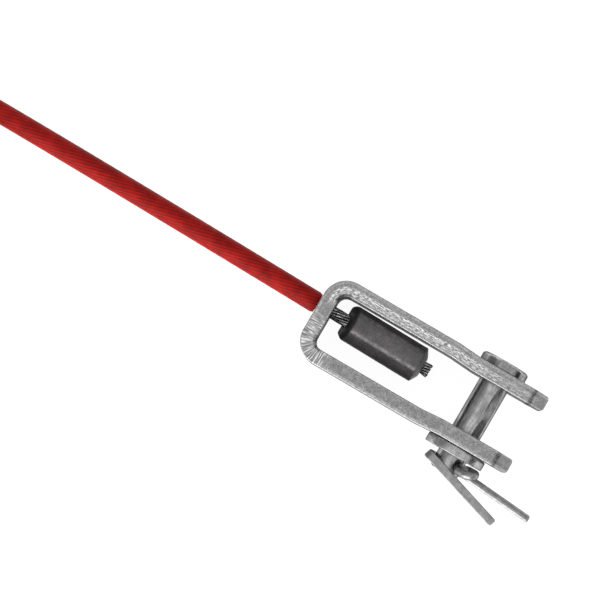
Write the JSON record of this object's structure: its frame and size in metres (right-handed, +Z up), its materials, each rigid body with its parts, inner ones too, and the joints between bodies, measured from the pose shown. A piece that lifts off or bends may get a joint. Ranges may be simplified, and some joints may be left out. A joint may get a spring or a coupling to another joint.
{
  "type": "fork cable end",
  "caption": "Coated steel strand held in a bent flat-bar fork by a swaged stop ferrule, with a headed clevis pin, washer and split pin across the fork's ears.",
  "frame": {"origin": "on the clevis pin's axis, midway between the fork's two ears", "axes": "+X from the fork's base towards its ear tips, +Y along the clevis pin towards its head, +Z up from the surface that the fork's edges rest on"},
  "size_m": [0.2908, 0.101, 0.025],
  "materials": {
    "fork_steel": "zinc plated, sheared edges",
    "pin_steel": "turned, zinc plated",
    "washer_steel": "stamped, zinc plated",
    "split_pin_steel": "drawn wire, zinc plated",
    "ferrule_steel": "dark oxide, satin",
    "strand_wire": "drawn wire",
    "red_cover": "extruded soft plastic"
  },
  "bodies": {
    "cable_body": {"cable": "red_cover", "cable_coil": "red_cover", "far_ferrule": "ferrule_steel", "far_strand": "strand_wire", "stop_ferrule": "ferrule_steel", "core_wire": "strand_wire", "inner_wire_1": "strand_wire", "inner_wire_2": "strand_wire", "inner_wire_3": "strand_wire", "inner_wire_4": "strand_wire", "inner_wire_5": "strand_wire", "inner_wire_6": "strand_wire", "outer_wire_1": "strand_wire", "outer_wire_2": "strand_wire", "outer_wire_3": "strand_wire", "outer_wire_4": "strand_wire", "outer_wire_5": "strand_wire", "outer_wire_6": "strand_wire", "outer_wire_7": "strand_wire", "outer_wire_8": "strand_wire", "outer_wire_9": "strand_wire", "outer_wire_10": "strand_wire", "outer_wire_11": "strand_wire", "outer_wire_12": "strand_wire"},
    "fork_body": {"fork": "fork_steel"},
    "pin_body": {"clevis_pin": "pin_steel", "split_pin": "split_pin_steel"},
    "washer_body": {"washer": "washer_steel"}
  },
  "joints": [
    {"name": "fork_swivel", "type": "hinge", "parent": "cable_body", "child": "fork_body", "pos_m": [-0.0608, 0.003, 0], "axis": [0.9998, -0.0192, 0], "continuous": true},
    {"name": "pin_turn", "type": "hinge", "parent": "fork_body", "child": "pin_body", "pos_m": [0, 0, 0], "axis": [0, 1, 0], "continuous": true},
    {"name": "washer_turn", "type": "hinge", "parent": "pin_body", "child": "washer_body", "pos_m": [0, -0.0155, 0], "axis": [0, 1, 0], "continuous": true}
  ]
}
